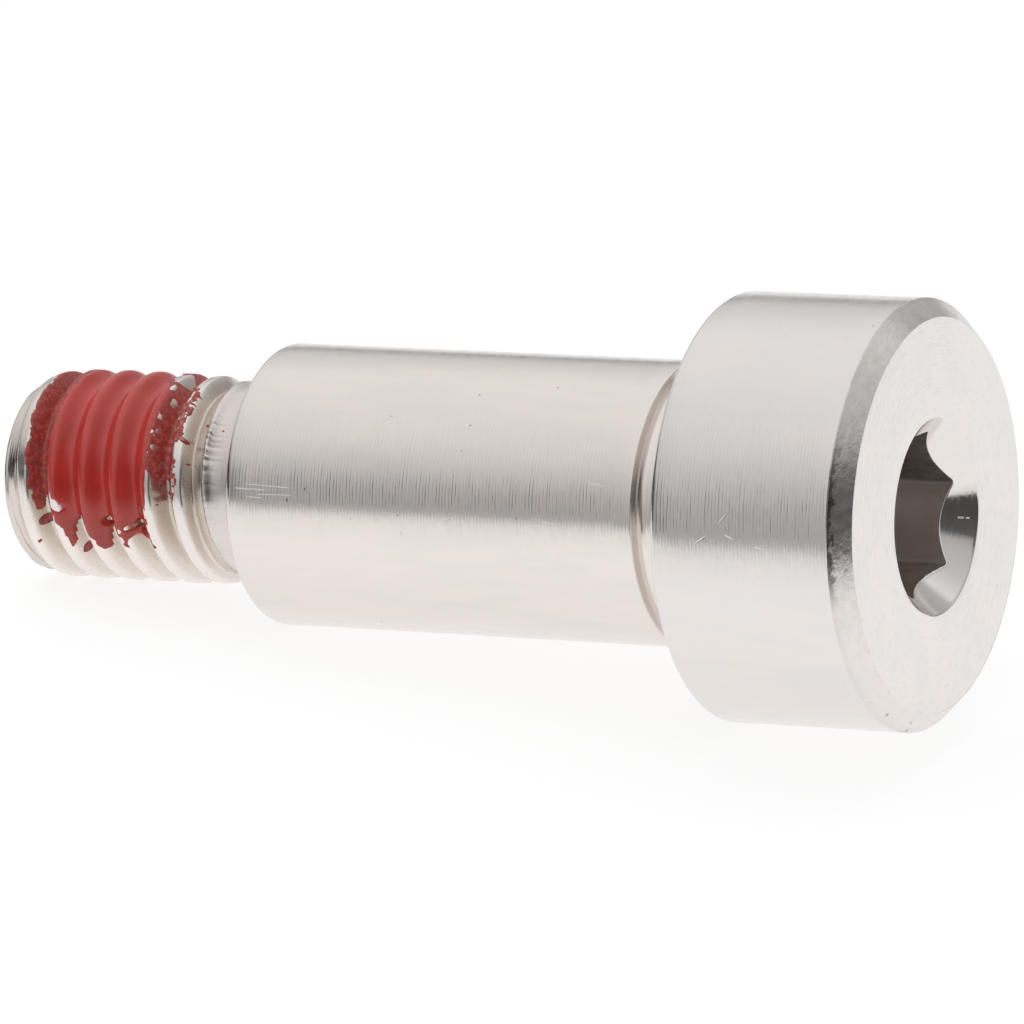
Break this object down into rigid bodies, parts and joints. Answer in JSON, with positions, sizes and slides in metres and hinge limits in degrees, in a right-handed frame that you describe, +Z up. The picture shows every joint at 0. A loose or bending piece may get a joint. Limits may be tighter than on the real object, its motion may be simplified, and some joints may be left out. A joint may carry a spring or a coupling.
{
  "type": "shoulder bolt",
  "caption": "Socket-head shoulder bolt with a ground shoulder, a relieved under-head neck, a rolled end thread and a fused locking patch.",
  "frame": {"origin": "under the middle of the box that holds the bolt as it lies at rest, on the surface it lies on", "axes": "+X from the threaded tip to the head, +Z up; the bolt's own axis lies in the XZ plane and rises towards the head by about 7.9 degrees"},
  "size_m": [0.0228, 0.0094, 0.0099],
  "materials": {
    "steel": "bright turned stainless steel",
    "patch": "fused red nylon, glossy where thick and powdery at its edges"
  },
  "bodies": {
    "root": {"bolt": "steel", "locking_patch": "patch"}
  },
  "joints": []
}
